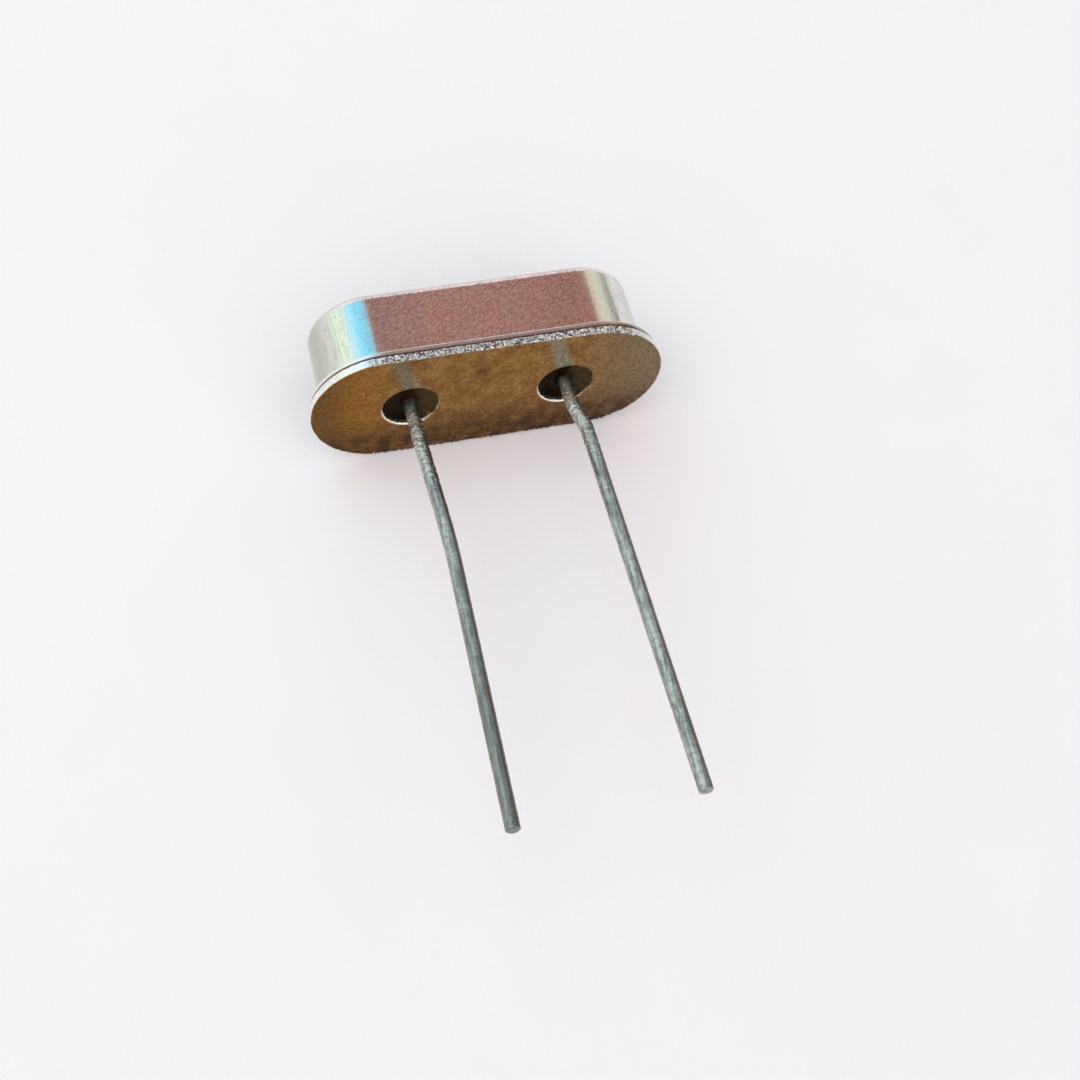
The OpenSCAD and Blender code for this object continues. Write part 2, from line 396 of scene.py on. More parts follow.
def upright_place(tree):
    """Each point's place on the upright part, in millimetres, worked out from Object coordinates."""
    back = Matrix.Rotation(-lay_angle, 3, "X")
    mapping = add_node(
        tree, "ShaderNodeMapping",
        {"Vector": add_node(tree, "ShaderNodeTexCoord").outputs["Object"]},
    )
    mapping.inputs["Scale"].default_value = (1 / MM,) * 3
    mapping.inputs["Rotation"].default_value = (-lay_angle, 0, 0)
    mapping.inputs["Location"].default_value = -(back @ seat) / MM
    return mapping.outputs["Vector"]


def effect(name, inputs, outputs):
    """Starts a shader node group with named inputs and outputs."""
    group = bpy.data.node_groups.new(name, "ShaderNodeTree")
    for label, kind, value in inputs:
        socket = group.interface.new_socket(label, in_out="INPUT", socket_type=kind)
        if value is not None:
            socket.default_value = value
    for label, kind in outputs:
        group.interface.new_socket(label, in_out="OUTPUT", socket_type=kind)
    return group, add_node(group, "NodeGroupInput"), add_node(group, "NodeGroupOutput")


def use_effect(tree, group, place, **values):
    """Places a node group in a material and returns its one output."""
    inputs = {"Place": place, **values}
    return add_node(tree, "ShaderNodeGroup", inputs, node_tree=group).outputs[0]


# Fine strokes left by polishing: thin noise, long along one slanting direction
strokes, taken, given = effect(
    "strokes",
    [
        ("Place", "NodeSocketVector", None),
        ("Slant", "NodeSocketFloat", 0.0),
        ("Size", "NodeSocketFloat", 10.0),
        ("Length", "NodeSocketFloat", 5.0),
    ],
    [("Height", "NodeSocketFloat")],
)
turned = add_node(
    strokes, "ShaderNodeVectorRotate",
    {"Vector": taken.outputs["Place"], "Angle": taken.outputs["Slant"]},
    rotation_type="Y_AXIS",
)
turned_parts = split(strokes, turned.outputs[0])
drawn_out = add_node(
    strokes, "ShaderNodeCombineXYZ",
    {
        "X": calculate(strokes, "DIVIDE", turned_parts["X"], taken.outputs["Length"]),
        "Y": turned_parts["Y"],
        "Z": turned_parts["Z"],
    },
)
stroke_noise = add_node(
    strokes, "ShaderNodeTexNoise",
    {"Vector": drawn_out.outputs[0], "Scale": taken.outputs["Size"], "Detail": 4.0},
)
strokes.links.new(stroke_noise.outputs["Fac"], given.inputs["Height"])

# Scattered small marks, such as pits, bright flecks and dirt: a few cells of a fine pattern
flecks, taken, given = effect(
    "flecks",
    [
        ("Place", "NodeSocketVector", None),
        ("Size", "NodeSocketFloat", 8.0),
        ("Share", "NodeSocketFloat", 0.1),
        ("Reach", "NodeSocketFloat", 0.3),
    ],
    [("Mask", "NodeSocketFloat")],
)
bent = add_node(
    flecks, "ShaderNodeTexNoise",
    {"Vector": taken.outputs["Place"], "Scale": 9.0, "Detail": 2.0},
)
bent_place = add_node(
    flecks, "ShaderNodeVectorMath",
    {0: bent.outputs["Color"], 1: (0.12, 0.12, 0.12), 2: taken.outputs["Place"]},
    operation="MULTIPLY_ADD",
)
cells = add_node(
    flecks, "ShaderNodeTexVoronoi",
    {"Vector": bent_place.outputs[0], "Scale": taken.outputs["Size"]},
)
cell_draw = add_node(flecks, "ShaderNodeSeparateColor", {0: cells.outputs["Color"]}).outputs[0]
picked = calculate(flecks, "LESS_THAN", cell_draw, taken.outputs["Share"])
near = calculate(
    flecks, "SUBTRACT", 1.0,
    calculate(flecks, "DIVIDE", cells.outputs["Distance"], taken.outputs["Reach"]),
)
flecks.links.new(product(flecks, picked, ramp(flecks, near, 0.0, 0.6)), given.inputs["Mask"])

# Slow uneven patches of tarnish or polish
patches, taken, given = effect(
    "patches",
    [("Place", "NodeSocketVector", None), ("Size", "NodeSocketFloat", 1.0)],
    [("Mask", "NodeSocketFloat")],
)
patch_noise = add_node(
    patches, "ShaderNodeTexNoise",
    {"Vector": taken.outputs["Place"], "Scale": taken.outputs["Size"], "Detail": 5.0,
     "Roughness": 0.6},
)
patches.links.new(ramp(patches, patch_noise.outputs["Fac"], 0.36, 0.64), given.inputs["Mask"])


def new_finish(name, metallic, **plain):
    """Starts a material, and returns it, its node tree and its shader."""
    finish = bpy.data.materials.new(name)
    finish.use_nodes = True
    shader = finish.node_tree.nodes["Principled BSDF"]
    shader.inputs["Metallic"].default_value = metallic
    for label, value in plain.items():
        shader.inputs[label.replace("_", " ")].default_value = value
    return finish, finish.node_tree, shader


def between(tree, value, low, high):
    """Goes evenly from low to high as the value goes from 0 to 1."""
    limits = {"Value": value, "To Min": low, "To Max": high}
    return add_node(tree, "ShaderNodeMapRange", limits).outputs[0]


def add_bump(tree, shader, *layers):
    """Stacks bumps on a shader: each layer is a height and its depth in millimetres."""
    normal = None
    for height, depth in layers:
        bump = add_node(tree, "ShaderNodeBump", {"Height": height, "Distance": depth * MM})
        if normal is not None:
            tree.links.new(normal, bump.inputs["Normal"])
        normal = bump.outputs["Normal"]
    tree.links.new(normal, shader.inputs["Normal"])


wall_warm_reflection = (0.79, 0.71, 0.67)
wall_red_reflection = (0.86, 0.69, 0.64)
wall_grey_reflection = (0.62, 0.56, 0.55)
wall_brown_reflection = (0.60, 0.48, 0.44)
end_pale = (0.80, 0.79, 0.75)
top_pale = (0.74, 0.71, 0.67)
wall_dull = (0.50, 0.40, 0.39)
stroke_light = (1.20, 1.20, 1.22)
stroke_dark = (0.0, 0.0, 0.0)
pit_grey = (0.34, 0.34, 0.31)
mark_bright = (0.95, 0.9, 0.86)
end_streak = (0.42, 0.43, 0.37)
end_shade_grey = (0.48, 0.49, 0.41)
flange_brown_reflection = (0.52, 0.46, 0.40)
flange_dark_reflection = (0.42, 0.35, 0.30)
flange_clean = (0.82, 0.82, 0.78)
rim_highlight_pale = (1.0, 0.95, 0.88)
seam_brown = (0.16, 0.09, 0.08)

cap_finish, tree, shader = new_finish("polished_nickel", 1.0)
place = upright_place(tree)
parts = split(tree, place)
along = calculate(tree, "ABSOLUTE", parts["X"])
broad_strokes = use_effect(tree, strokes, place, Slant=math.radians(34), Size=15.0, Length=2.2)
fine_strokes = use_effect(tree, strokes, place, Slant=math.radians(46), Size=34.0, Length=3.0)
wall_strokes = product(tree, calculate(tree, "ADD", broad_strokes, fine_strokes), 0.5)
wall_patches = use_effect(tree, patches, place, Size=0.9)
small_patches = use_effect(tree, patches, place, Size=6.0)
bright_marks = use_effect(tree, flecks, place, Size=4.5, Share=0.012, Reach=0.14)
pits = use_effect(tree, flecks, place, Size=9.0, Share=0.20, Reach=0.34)
# The walls' rosy tint, greyer to the left and browner to the right, is partly warm nickel and partly
# a painted reflection of a warm room; the ends stay pale
colour = blend_colour(tree, wall_patches, wall_warm_reflection, wall_red_reflection)
wide_patches = use_effect(tree, patches, place, Size=2.2)
wall_shade = calculate(
    tree, "ADD", product(tree, small_patches, 0.18),
    product(tree, wide_patches, 0.22),
)
colour = blend_colour(tree, wall_shade, colour, wall_dull)
to_left = ramp(tree, parts["X"], -1.2, -3.2)
colour = blend_colour(tree, product(tree, to_left, 0.8), colour, wall_grey_reflection)
to_right = ramp(tree, parts["X"], 0.6, 3.1)
colour = blend_colour(tree, product(tree, to_right, 0.55), colour, wall_brown_reflection)
stroke_shade = ramp(tree, wall_strokes, 0.36, 0.64)
stroke_share = product(tree, stroke_shade, 0.50)
stroke_tint = blend_colour(tree, stroke_share, stroke_light, stroke_dark)
tinted = blend_colour(tree, 1.0, colour, stroke_tint, "MULTIPLY")
colour = blend_colour(tree, ramp(tree, along, 3.0, 4.0), tinted, end_pale)
top_colour = blend_colour(tree, wall_patches, top_pale, end_pale)
colour = blend_colour(tree, ramp(tree, parts["Z"], 2.85, 3.15), colour, top_colour)
pit_zone = product(tree, pits, ramp(tree, along, 3.2, 3.6))
colour = blend_colour(tree, product(tree, pit_zone, 0.75), colour, pit_grey)
colour = blend_colour(tree, product(tree, bright_marks, 0.6), colour, mark_bright)
end_strokes = use_effect(tree, strokes, place, Slant=math.radians(90), Size=16.0, Length=9.0)
end_streaks = product(tree, ramp(tree, end_strokes, 0.52, 0.38), ramp(tree, along, 3.3, 4.6))
colour = blend_colour(tree, product(tree, end_streaks, 0.38), colour, end_streak)
# Painted shade darkens the outermost part of each end
end_shade_share = product(tree, ramp(tree, along, 4.40, 5.02), 0.85)
colour = blend_colour(tree, end_shade_share, colour, end_shade_grey)
at_left_end = ramp(tree, parts["X"], -2.9, -3.9)
# The flange's side wall carries a painted dark reflection of the surroundings, varied in patches,
# and is paler at the left end
in_flange = ramp(tree, parts["Z"], 0.60, 0.54)
flange_colour = blend_colour(tree, small_patches, flange_brown_reflection, flange_dark_reflection)
flange_colour = blend_colour(tree, at_left_end, flange_colour, flange_clean)
colour = blend_colour(tree, in_flange, colour, flange_colour)
# A painted highlight runs, broken, along the flange's rounded top edge
rim_highlight = product(tree, ramp(tree, parts["Z"], 0.46, 0.49), ramp(tree, parts["Z"], 0.56, 0.53))
rim_highlight = product(tree, rim_highlight, ramp(tree, wall_strokes, 0.35, 0.55))
colour = blend_colour(tree, rim_highlight, colour, rim_highlight_pale)
in_seam = ramp(tree, parts["Z"], 0.395, 0.355)
colour = blend_colour(tree, in_seam, colour, seam_brown)
tree.links.new(colour, shader.inputs["Base Color"])
wall_rough = between(tree, small_patches, 0.13, 0.20)
rough = calculate(tree, "ADD", wall_rough, product(tree, in_flange, 0.18))
tree.links.new(rough, shader.inputs["Roughness"])
hollows = product(tree, pit_zone, -1.0)
add_bump(tree, shader, (wall_strokes, 0.0020), (bright_marks, 0.002), (hollows, 0.002))
cap.data.materials.append(cap_finish)
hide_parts("cap")
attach(cap, "root")

# ---- Base --------------------------------------------------------------------------------------
# The base is stamped from thick steel: a flange, a raised middle that fits inside the cap, and two
# pierced holes. It is nickel plated and its sheared edge is crumbled. The underside's brown is
# mostly a painted reflection of a brown wooden table, on slightly warm nickel.
plinth_h = 0.63
plinth_r = cap_inner_r - 0.06
plinth_edge_r = 0.1
flange_edge_r = 0.06
base_h = base_flange_t + plinth_h
hole_r = 0.875
hole_edge_r = 0.05
lead_pitch = 4.88
base_turn_steps = 280
base_side_steps = 240
# Steps in each full turn
round_steps = 96
# Rings round the sheared edge, so that there are points enough to chip
edge_rings = (0.24, 0.19, 0.14, 0.09)
rough_edge_depth = 0.035
chip_contrast = 1.6
chip_level = 0.9
clean_left_x = -3.6
clean_right_x = 4.4
clean_share = 0.35

base = outline(
    "base_plate",
    flange_run / 2,
    [
        (plinth_r - 0.3, base_h),
        (plinth_r, base_h),
        (plinth_r, base_flange_t),
        (flange_r, base_flange_t),
        *[(flange_r, height) for height in edge_rings],
        (flange_r, 0),
        (flange_r - flange_edge_r - 0.06, 0),
    ],
    [(1, plinth_edge_r, 4), (3, flange_edge_r, 3), (8, flange_edge_r, 4)],
)
carry_round(base, flange_run, base_turn_steps, base_side_steps)
lengthen(base, plinth_r + nearly, cap_run - flange_run)
fill_rings(base, (base_h, 0))
bpy.ops.object.mode_set(mode="OBJECT")


def turn_round(x):
    """Turns the selected chain into a solid about the upright line at x."""
    bpy.ops.mesh.spin(steps=round_steps, angle=2 * math.pi, center=(x, 0, 0), axis=(0, 0, 1))
    bpy.ops.mesh.select_all(action="SELECT")
    bpy.ops.mesh.remove_doubles(threshold=touching)
    bpy.ops.mesh.normals_make_consistent(inside=False)
    bpy.ops.object.mode_set(mode="OBJECT")


# The holes are cut with a punch whose lower end flares into the rounded edge
punch_past = 0.2
punch_lip = 0.1
flare_r = hole_r + hole_edge_r + 0.02
punches = []
for side in (-1, 1):
    punch = outline(
        "punch", side * lead_pitch / 2,
        [
            (0, base_h + punch_past), (hole_r, base_h + punch_past), (hole_r, 0),
            (flare_r, 0), (flare_r, -punch_lip), (0, -punch_lip),
        ],
        [(2, hole_edge_r, 5)],
    )
    turn_round(side * lead_pitch / 2)
    apply_modifier(base, "BOOLEAN", object=punch, operation="DIFFERENCE", solver="EXACT")
    punches.append(punch)
for punch in punches:
    bpy.data.objects.remove(punch)

# The sheared edge is broken into small chips, which eat into the metal, least at its two ends
sheared = base.vertex_groups.new(name="sheared_edge")
for point in base.data.vertices:
    out = math.hypot(max(abs(point.co.x) - flange_run / 2, 0), point.co.y)
    if out > flange_r - flange_edge_r - 0.01 and point.co.z < base_flange_t + 0.001:
        clean = point.co.x < clean_left_x or point.co.x > clean_right_x
        sheared.add([point.index], clean_share if clean else 1.0, "REPLACE")
for texture_kind, texture_size, share in (("CLOUDS", 0.10, 1.0), ("VORONOI", 0.07, 0.9)):
    chips = bpy.data.textures.new("chips", texture_kind)
    chips.noise_scale = texture_size
    chips.contrast = chip_contrast
    apply_modifier(
        base, "DISPLACE", texture=chips, vertex_group="sheared_edge",
        strength=rough_edge_depth * share, mid_level=chip_level,
    )
smooth(base, sharp_turn)
lay_down(base)


def distance(tree, across, up):
    """How far a point is from a centre, from how far across and how far up it is."""
    squares = [calculate(tree, "POWER", part, 2.0) for part in (across, up)]
    return calculate(tree, "SQRT", calculate(tree, "ADD", *squares))


under_brown_reflection = (0.265, 0.115, 0.022)
under_gold_reflection = (0.375, 0.205, 0.056)
under_amber_reflection = (0.375, 0.160, 0.018)
dark_specks_and_shade = (0.055, 0.025, 0.007)
under_grey_reflection = (0.25, 0.175, 0.095)
streak_grey = (0.38, 0.41, 0.31)
streak_pale = (0.50, 0.56, 0.47)
glint_pale = (0.8, 0.7, 0.55)
hole_highlight_pale = (0.95, 0.92, 0.76)
edge_silver = (0.56, 0.54, 0.51)
edge_dark = (0.12, 0.095, 0.085)
edge_bright = (1.0, 1.0, 0.97)
edge_clean = (1.0, 1.0, 0.98)

base_finish, tree, shader = new_finish("nickel_steel_brown_reflection", 1.0)
place = upright_place(tree)
parts = split(tree, place)
brown_patches = use_effect(tree, patches, place, Size=1.6)
fine_patches = use_effect(tree, patches, place, Size=8.0)
low_patches = use_effect(tree, patches, place, Size=2.6)
hammered = use_effect(tree, strokes, place, Slant=0.0, Size=7.0, Length=1.6)
specks = use_effect(tree, flecks, place, Size=5.0, Share=0.14, Reach=0.22)
glints = use_effect(tree, flecks, place, Size=3.1, Share=0.10, Reach=0.09)
# Painted reflection: the brown, gold and amber, greyer to the right and darker towards the left end,
# are mostly a brown wooden table mirrored in slightly warm nickel
colour = blend_colour(tree, brown_patches, under_brown_reflection, under_gold_reflection)
colour = blend_colour(tree, ramp(tree, parts["X"], 2.0, 5.0), colour, under_grey_reflection)
to_amber = product(tree, ramp(tree, parts["X"], -2.6, -4.4), 0.8)
colour = blend_colour(tree, to_amber, colour, under_amber_reflection)
# Painted reflected shadow: darker, in patches, towards the edge that rests on the table
low_edge_shadow = product(
    tree, ramp(tree, parts["Y"], 0.1, 1.8),
    calculate(tree, "ADD", 0.46, product(tree, low_patches, 0.52)),
)
colour = blend_colour(tree, low_edge_shadow, colour, dark_specks_and_shade)
colour = blend_colour(
    tree, product(tree, ramp(tree, parts["X"], -3.4, -5.4), 0.6), colour, dark_specks_and_shade
)
# A pale streak runs from each hole to the upper edge: a painted reflection of each wire in the metal
streak_lean = 0.27
streak_half_w = 0.44
right_streak_shift = 0.13
shift = product(tree, calculate(tree, "ADD", parts["Y"], hole_r), streak_lean)
at_right = ramp(tree, parts["X"], -1.0, 1.0)
shift = calculate(tree, "SUBTRACT", shift, product(tree, at_right, right_streak_shift))
from_streak = calculate(
    tree, "ABSOLUTE",
    calculate(
        tree, "SUBTRACT",
        calculate(tree, "ABSOLUTE", calculate(tree, "SUBTRACT", parts["X"], shift)),
        lead_pitch / 2,
    ),
)
in_streak = product(
    tree, ramp(tree, from_streak, streak_half_w, 0.0), ramp(tree, parts["Y"], -0.5, -0.85)
)
in_streak = product(
    tree, in_streak,
    calculate(tree, "ADD", 0.42, product(tree, ramp(tree, parts["Y"], -2.1, -1.1), 0.23)),
)
streak_colour = blend_colour(tree, at_right, streak_grey, streak_pale)
colour = blend_colour(tree, in_streak, colour, streak_colour)
colour = blend_colour(tree, product(tree, fine_patches, 0.42), colour, dark_specks_and_shade)
colour = blend_colour(tree, product(tree, specks, 0.55), colour, dark_specks_and_shade)
colour = blend_colour(tree, product(tree, glints, 0.8), colour, glint_pale)
# There is a dark spot between the holes, and a painted highlight on the lower left of each hole's
# edge
spot_x, spot_y, spot_r = -0.29, -1.23, 0.32
from_spot = distance(
    tree, calculate(tree, "SUBTRACT", parts["X"], spot_x),
    calculate(tree, "SUBTRACT", parts["Y"], spot_y),
)
spot = product(tree, ramp(tree, from_spot, spot_r, 0.0), 0.6)
colour = blend_colour(tree, spot, colour, dark_specks_and_shade)
across_hole = calculate(
    tree, "SUBTRACT", parts["X"],
    product(tree, calculate(tree, "SIGN", parts["X"]), lead_pitch / 2),
)
from_hole = distance(tree, across_hole, parts["Y"])
lower_left = ramp(
    tree, calculate(tree, "SUBTRACT", parts["Y"], product(tree, across_hole, 0.6)),
    0.25, 0.8,
)
hole_edge_highlight = product(tree, ramp(tree, from_hole, 0.94, 0.90), lower_left)
colour = blend_colour(tree, hole_edge_highlight, colour, hole_highlight_pale)
edge_cells = add_node(tree, "ShaderNodeTexVoronoi", {"Vector": place, "Scale": 19.0})
edge_draw = add_node(tree, "ShaderNodeSeparateColor", {0: edge_cells.outputs["Color"]}).outputs[1]
edge_colour = blend_colour(tree, ramp(tree, edge_draw, 0.40, 0.16), edge_silver, edge_dark)
edge_colour = blend_colour(tree, ramp(tree, edge_draw, 0.65, 0.83), edge_colour, edge_bright)
clean_end = calculate(
    tree, "ADD", product(tree, ramp(tree, parts["X"], -3.2, -4.0), 0.8),
    product(tree, ramp(tree, parts["X"], 4.0, 4.6), 0.7),
)
edge_colour = blend_colour(tree, clean_end, edge_colour, edge_clean)
edge_colour = blend_colour(tree, ramp(tree, parts["Z"], 0.25, 0.29), edge_colour, seam_brown)
on_edge = ramp(tree, parts["Z"], 0.015, 0.05)
colour = blend_colour(tree, on_edge, colour, edge_colour)
tree.links.new(colour, shader.inputs["Base Color"])
under_rough = between(tree, fine_patches, 0.20, 0.36)
rough = calculate(tree, "ADD", under_rough, product(tree, on_edge, 0.1))
tree.links.new(rough, shader.inputs["Roughness"])
edge_bump = product(tree, on_edge, edge_draw)
add_bump(tree, shader, (hammered, 0.022), (specks, 0.006), (edge_bump, 0.03))
base.data.materials.append(base_finish)
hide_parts("base")
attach(base, "root")

# ---- Glass seals -------------------------------------------------------------------------------
# Each lead passes through a ring of dark sealing glass, melted into its hole. The glass dips between
# the hole and the lead, and creeps a little way along the wire.
lead_r = 0.215
seal_recess = 0.15
seal_dip = 0.12
seal_inner_r = lead_r - 0.01
seal_creep = 0.03
seal_deepest = seal_recess + seal_dip

glass_black = (0.007, 0.003, 0.0005)
glass_brown = (0.016, 0.008, 0.002)
glass_lit = (0.055, 0.036, 0.014)
glass_ray = (0.14, 0.11, 0.06)

seal_finish, tree, shader = new_finish(
    "sealing_glass", 0.0, Specular_IOR_Level=0.04, Specular_Tint=(0.75, 0.36, 0.10, 1.0)
)
place = upright_place(tree)
parts = split(tree, place)
from_lead = calculate(tree, "SUBTRACT", calculate(tree, "ABSOLUTE", parts["X"]), lead_pitch / 2)
around = calculate(tree, "ARCTAN2", parts["Y"], from_lead)
rays = add_node(
    tree, "ShaderNodeTexNoise",
    {
        "Vector": add_node(
            tree, "ShaderNodeCombineXYZ",
            {"X": product(tree, around, 6.0), "Y": product(tree, parts["Y"], 0.6)},
        ).outputs[0],
        "Scale": 3.0, "Detail": 4.0,
    },
).outputs["Fac"]
glass_patches = use_effect(tree, patches, place, Size=2.4)
colour = blend_colour(tree, glass_patches, glass_black, glass_brown)
lit_side = ramp(tree, parts["X"], 2.3, 3.2)
left_lit_side = product(
    tree, ramp(tree, parts["X"], -2.5, -1.7), ramp(tree, parts["X"], 0.0, -1.0)
)
lighter = calculate(tree, "ADD", lit_side, left_lit_side)
colour = blend_colour(tree, lighter, colour, glass_lit)
lit_rays = product(tree, ramp(tree, rays, 0.52, 0.70), lighter)
colour = blend_colour(tree, lit_rays, colour, glass_ray)
tree.links.new(colour, shader.inputs["Base Color"])
tree.links.new(between(tree, glass_patches, 0.12, 0.3), shader.inputs["Roughness"])
add_bump(tree, shader, (rays, 0.008))

for side, word in ((-1, "left"), (1, "right")):
    seal = outline(
        f"seal_{word}", side * lead_pitch / 2,
        [
            (seal_inner_r, base_h), (hole_r, base_h), (hole_r, seal_recess),
            (hole_r - 0.2, seal_deepest), (lead_r + 0.10, seal_deepest),
            (lead_r + seal_creep, seal_recess + seal_creep), (seal_inner_r, seal_recess),
            (seal_inner_r, base_h),
        ],
        [(3, 0.25, 6), (4, 0.07, 6), (5, 0.03, 3)],
    )
    turn_round(side * lead_pitch / 2)
    smooth(seal, sharp_turn)
    lay_down(seal)
    seal.data.materials.append(seal_finish)
    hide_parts(f"glass_seal_{word}")
    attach(seal, "root")

# ---- Leads -------------------------------------------------------------------------------------
# Each lead is one round wire with a flattened head inside the can, fused in the glass and dipped in
# tin. The tin is crinkled and flaked near the can, and the wires have been bent a little by hand.
head_r = 0.45
head_t = 0.12
head_z = base_h + 0.2
tip_chamfer = 0.05
wire_sides = 28
neck_steps = 4
fine_step = 0.03
fine_length = 3.6
plain_step = 0.06
# The tin's crinkles grow over the first stretch below the base, and then wear off to a small share
crinkle_start = 1.5
crinkle_full = 1.0
crinkle_end = 6.0
crinkle_least = 0.25
# Each stretch: straight run, then a bend towards +X in degrees, and the bend's radius
lead_paths = {
    "left": (-1, [(0.9, 2.4, 20), (2, -4.25, 30), (8.1, 0, 0)]),
    "right": (1, [(0.6, 13, 1.6), (0.6, -12.2, 1.6), (12.15, 0, 0)]),
}


def pull(move, turn=0.0, centre=None):
    """Pulls the wire's end face along, and turns it about the Y axis."""
    bpy.ops.mesh.extrude_region_move(TRANSFORM_OT_translate={"value": move})
    if turn:
        bpy.ops.transform.rotate(
            value=turn, orient_axis="Y", orient_type="GLOBAL", center_override=centre
        )


def draw_wire(start, stretches):
    """Draws the wire down from start along its runs and bends, in short steps."""
    at, heading, done = Vector(start), 0.0, 0.0
    for run, bend, radius in stretches:
        left = run
        while left > touching:
            step = min(fine_step if done < fine_length else plain_step, left)
            move = Vector((math.sin(heading), 0, -math.cos(heading))) * step
            at, left, done = at + move, left - step, done + step
            pull(move)
        bend_steps = math.ceil(abs(math.radians(bend)) * radius / fine_step)
        for _ in range(bend_steps):
            turn = math.radians(bend) / bend_steps
            chord = 2 * radius * math.sin(abs(turn) / 2)
            middle = heading + turn / 2
            move = Vector((math.sin(middle), 0, -math.cos(middle))) * chord
            at, heading, done = at + move, heading + turn, done + chord
            pull(move, turn, at)
    return at, heading


tin_grey = (0.38, 0.40, 0.37)
tin_pale = (0.54, 0.56, 0.52)
tin_shade = (0.125, 0.13, 0.125)
tin_line = (0.12, 0.125, 0.115)
tin_ring = (0.14, 0.15, 0.145)
tin_highlight_pale = (0.92, 0.95, 0.92)
tin_far = (0.16, 0.16, 0.145)
tin_flake = (0.98, 1.0, 0.94)
tin_soot = (0.09, 0.08, 0.06)

lead_finish, tree, shader = new_finish("tinned_wire", 1.0)
place = upright_place(tree)
parts = split(tree, place)
near_can = product(tree, ramp(tree, parts["Z"], -4.5, -1.2), ramp(tree, parts["Z"], 0.4, -0.9))
crinkles = use_effect(tree, strokes, place, Slant=math.radians(25), Size=9.0, Length=0.5)
rings = use_effect(tree, strokes, place, Slant=math.radians(-12), Size=9.0, Length=3.0)
tin_flakes = use_effect(tree, flecks, place, Size=9.0, Share=0.42, Reach=0.35)
tin_dirt = use_effect(tree, flecks, place, Size=6.0, Share=0.22, Reach=0.30)
tin_patches = use_effect(tree, patches, place, Size=3.0)
colour = blend_colour(tree, tin_patches, tin_grey, tin_pale)
# The side that faces away from the light is darkened with painted shade
facing = split(tree, add_node(tree, "ShaderNodeTexCoord").outputs["Normal"])["X"]
shaded_side = product(tree, ramp(tree, facing, 0.10, 0.65), 0.86)
colour = blend_colour(tree, shaded_side, colour, tin_shade)
ring_shade = product(tree, ramp(tree, rings, 0.50, 0.36), 0.35)
drawn_lines = use_effect(tree, strokes, place, Slant=math.radians(85), Size=14.0, Length=14.0)
line_shade = product(tree, ramp(tree, drawn_lines, 0.52, 0.40), 0.55)
colour = blend_colour(tree, line_shade, colour, tin_line)
colour = blend_colour(tree, ring_shade, colour, tin_ring)
# Near the can the other side carries a painted highlight
root_highlight = product(tree, ramp(tree, parts["Z"], -3.4, -1.2), ramp(tree, facing, 0.25, -0.35))
colour = blend_colour(tree, product(tree, root_highlight, 0.35), colour, tin_highlight_pale)
left_wire = ramp(tree, parts["X"], 1.0, -1.0)
far_down = ramp(tree, parts["Z"], -4.0, -11.0)
far_shade = product(tree, product(tree, left_wire, far_down), 0.6)
colour = blend_colour(tree, far_shade, colour, tin_far)
flake_zone = product(tree, tin_flakes, near_can)
colour = blend_colour(tree, product(tree, flake_zone, 0.9), colour, tin_flake)
dirt_zone = product(tree, tin_dirt, calculate(tree, "ADD", 0.35, product(tree, near_can, 0.3)))
colour = blend_colour(tree, dirt_zone, colour, tin_soot)
tree.links.new(colour, shader.inputs["Base Color"])
tree.links.new(between(tree, tin_patches, 0.34, 0.50), shader.inputs["Roughness"])
crinkle_zone = product(tree, crinkles, near_can)
add_bump(tree, shader, (crinkle_zone, 0.035), (rings, 0.008), (tin_flakes, 0.008))

for word, (side, stretches) in lead_paths.items():
    x = side * lead_pitch / 2
    bpy.ops.object.select_all(action="DESELECT")
    bpy.ops.mesh.primitive_circle_add(
        vertices=wire_sides, radius=head_r, fill_type="NGON", location=(0, 0, 0)
    )
    lead = bpy.context.object
    lead.name = lead.data.name = f"tinned_lead_{word}"
    bpy.ops.object.mode_set(mode="EDIT")
    bpy.ops.mesh.select_mode(type="FACE")
    bpy.ops.mesh.select_all(action="SELECT")
    bpy.ops.transform.translate(value=(x, 0, head_z + head_t))
    pull(Vector((0, 0, -head_t)))
    bpy.ops.mesh.extrude_region_move()
    shrink = lead_r / head_r
    bpy.ops.transform.resize(value=(shrink, shrink, 1), center_override=(x, 0, head_z))
    for _ in range(neck_steps):
        pull(Vector((0, 0, -head_z / neck_steps)))
    end_of_run = stretches[-1][0] - tip_chamfer
    tip, tip_heading = draw_wire((x, 0, 0), [*stretches[:-1], (end_of_run, 0, 0)])
    pull(Vector((math.sin(tip_heading), 0, -math.cos(tip_heading))) * tip_chamfer)
    shrink = 1 - tip_chamfer / lead_r
    bpy.ops.transform.resize(value=(shrink,) * 3, center_override=tip)
    bpy.ops.mesh.select_all(action="SELECT")
    bpy.ops.mesh.normals_make_consistent(inside=False)
    bpy.ops.object.mode_set(mode="OBJECT")
    crinkled = lead.vertex_groups.new(name="crinkled_tin")
    for point in lead.data.vertices:
        below = max(-point.co.z, 0)
        wearing_off = (crinkle_end - below) / (crinkle_end - crinkle_full)
        share = min(max(wearing_off, crinkle_least), 1.0) * min(below / crinkle_start, 1.0)
        crinkled.add([point.index], share, "REPLACE")
    for texture_kind, texture_size, depth in (("CLOUDS", 0.13, 0.045), ("VORONOI", 0.09, 0.03)):
        tin = bpy.data.textures.new("tin", texture_kind)
        tin.noise_scale = texture_size
        apply_modifier(
            lead, "DISPLACE", texture=tin, vertex_group="crinkled_tin",
            strength=depth, mid_level=0.5,
        )
    smooth(lead, sharp_turn)
    lay_down(lead)
    lead.data.materials.append(lead_finish)
    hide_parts(f"lead_{word}")
    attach(lead, "root")

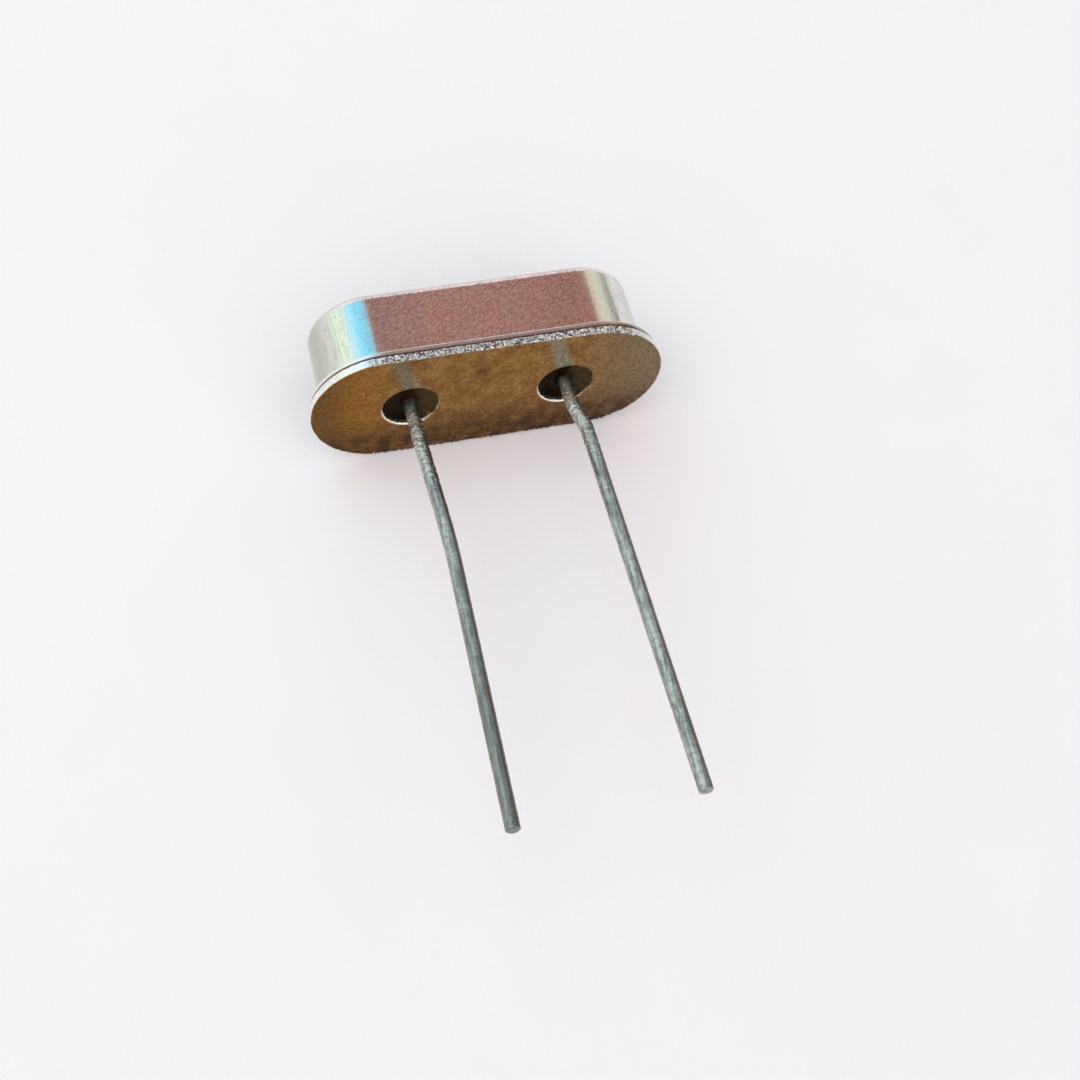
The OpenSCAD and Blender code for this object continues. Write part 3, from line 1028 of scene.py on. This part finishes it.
# ---- Pieces inside -----------------------------------------------------------------------------
# Two folded spring clips stand on the leads' heads and carry the quartz strip, which is silvered on
# both sides and glued with conductive adhesive. They are the CAD pieces with real finishes.
clip_finish, tree, shader = new_finish("spring_sheet", 1.0)
place = upright_place(tree)
rolled = use_effect(tree, strokes, place, Slant=0.0, Size=20.0, Length=8.0)
tree.links.new(
    blend_colour(tree, rolled, (0.56, 0.54, 0.50), (0.68, 0.66, 0.62)), shader.inputs["Base Color"]
)
tree.links.new(between(tree, rolled, 0.25, 0.4), shader.inputs["Roughness"])
add_bump(tree, shader, (rolled, 0.003))

quartz_finish, tree, shader = new_finish("lapped_quartz", 0.0, Transmission_Weight=0.85, IOR=1.54)
place = upright_place(tree)
lapped = add_node(
    tree, "ShaderNodeTexNoise", {"Vector": place, "Scale": 40.0, "Detail": 3.0}
).outputs["Fac"]
tree.links.new(
    blend_colour(tree, lapped, (0.86, 0.90, 0.90), (0.94, 0.96, 0.95)), shader.inputs["Base Color"]
)
tree.links.new(between(tree, lapped, 0.2, 0.35), shader.inputs["Roughness"])
add_bump(tree, shader, (lapped, 0.002))

silver_finish, tree, shader = new_finish("silver_film", 1.0)
place = upright_place(tree)
film_patches = use_effect(tree, patches, place, Size=1.2)
tree.links.new(
    blend_colour(tree, film_patches, (0.86, 0.84, 0.79), (0.93, 0.91, 0.87)),
    shader.inputs["Base Color"],
)
tree.links.new(between(tree, film_patches, 0.18, 0.3), shader.inputs["Roughness"])

glue_finish, tree, shader = new_finish("silver_filled_adhesive", 0.0)
place = upright_place(tree)
filler = use_effect(tree, flecks, place, Size=16.0, Share=0.5, Reach=0.4)
tree.links.new(
    blend_colour(tree, filler, (0.20, 0.20, 0.20), (0.46, 0.46, 0.45)), shader.inputs["Base Color"]
)
tree.links.new(between(tree, filler, 0.6, 0.4), shader.inputs["Roughness"])
add_bump(tree, shader, (filler, 0.004))

inner_finishes = {
    "clip_left": clip_finish,
    "clip_right": clip_finish,
    "quartz_blank": quartz_finish,
    "electrode_top": silver_finish,
    "electrode_bottom": silver_finish,
    "adhesive_left": glue_finish,
    "adhesive_right": glue_finish,
}
for name, finish in inner_finishes.items():
    node = frame["nodes"][name]
    node.data.materials.clear()
    node.data.materials.append(finish)
